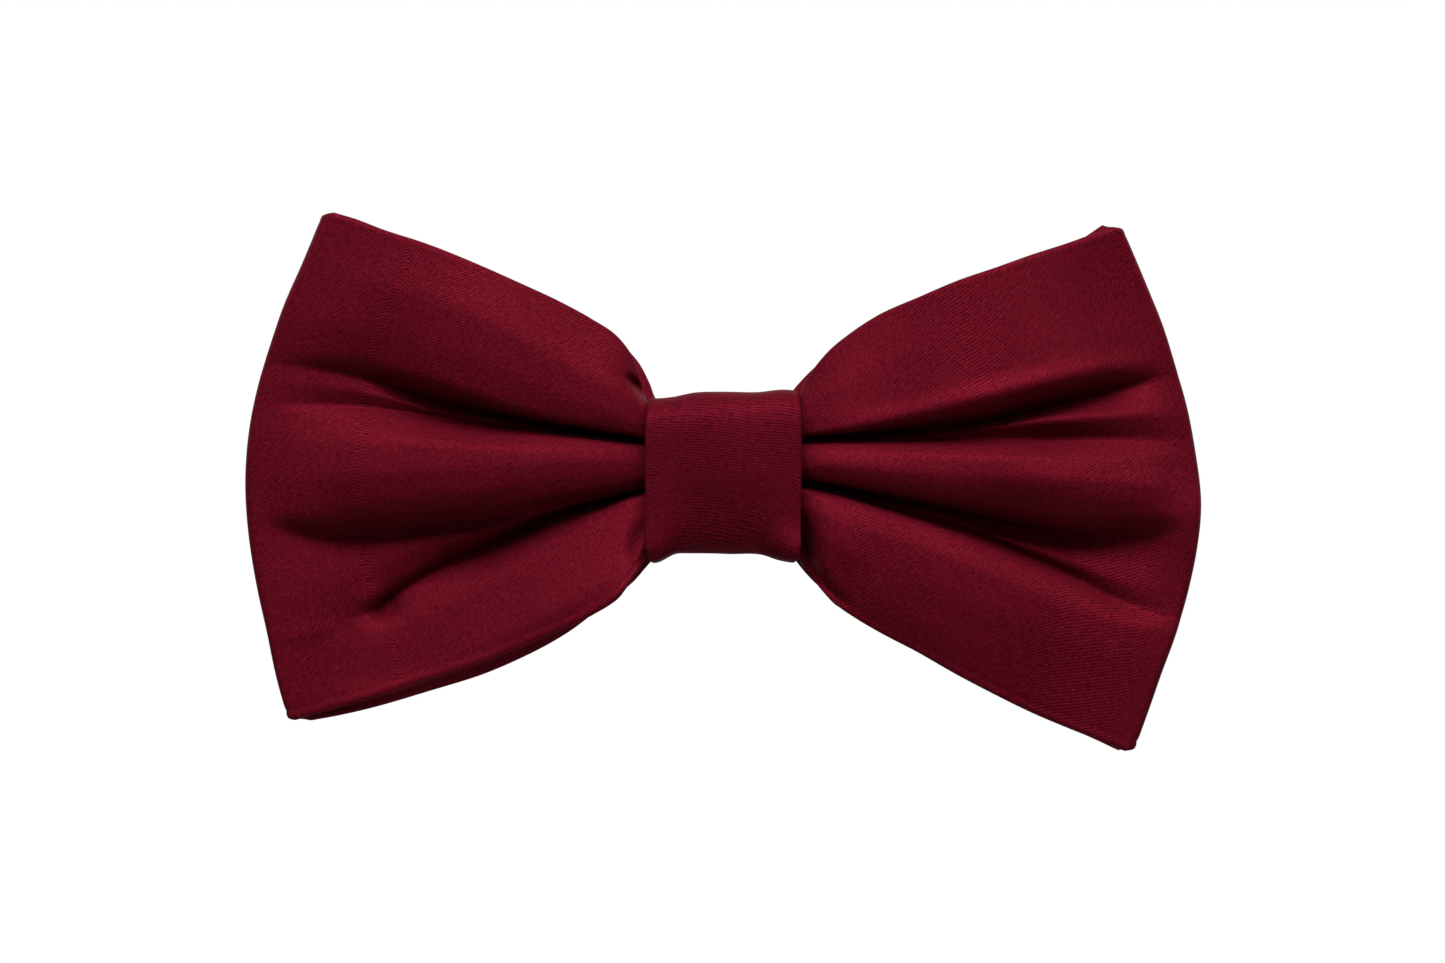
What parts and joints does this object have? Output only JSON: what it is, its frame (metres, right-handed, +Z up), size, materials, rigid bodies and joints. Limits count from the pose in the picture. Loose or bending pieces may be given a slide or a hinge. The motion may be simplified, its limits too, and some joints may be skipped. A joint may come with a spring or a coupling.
{
  "type": "bow tie",
  "caption": "Ready-tied bow tie: a pleated satin bow gathered under a wrapped knot, on a sprung two-jaw clip for a shirt collar.",
  "frame": {"origin": "middle of the clip plate's grip face, level with the knot's centre", "axes": "+X to the right as seen from the front, along both wings; +Y backwards, towards the collar; +Z up, across the wings"},
  "size_m": [0.12, 0.0213, 0.0678],
  "materials": {
    "bow_satin": "satin twill with a soft sheen",
    "knot_satin": "satin twill cut on the bias",
    "interlining": "matt non-woven, dyed dark",
    "thread": "matt sewing thread",
    "plated_steel": "bright nickel plate",
    "spring_steel": "drawn wire"
  },
  "bodies": {
    "bow": {"bow_outer_satin": "bow_satin", "bow_interlining": "interlining", "bow_inner_satin": "bow_satin", "bow_edge_seams": "thread", "bow_back_seam": "thread", "gather_thread": "thread", "knot_wrap": "knot_satin", "knot_interlining": "interlining", "knot_closing_stitches": "thread", "clip_base_plate": "plated_steel", "left_hinge_pin": "plated_steel", "right_hinge_pin": "plated_steel", "left_spring": "spring_steel", "right_spring": "spring_steel"},
    "left_jaw": {"left_jaw": "plated_steel"},
    "right_jaw": {"right_jaw": "plated_steel"}
  },
  "joints": [
    {"name": "right_jaw_hinge", "type": "hinge", "parent": "bow", "child": "right_jaw", "pos_m": [0.014, 0.0019, 0], "axis": [0, 0, 1], "range_deg": [0, 28], "stiffness_Nm_per_rad": 0.05, "springref_deg": -28.65, "deforming": ["right_spring"]},
    {"name": "left_jaw_hinge", "type": "hinge", "parent": "bow", "child": "left_jaw", "pos_m": [-0.014, 0.0019, 0], "axis": [0, 0, -1], "range_deg": [0, 28], "stiffness_Nm_per_rad": 0.05, "springref_deg": -28.65, "deforming": ["left_spring"]}
  ]
}
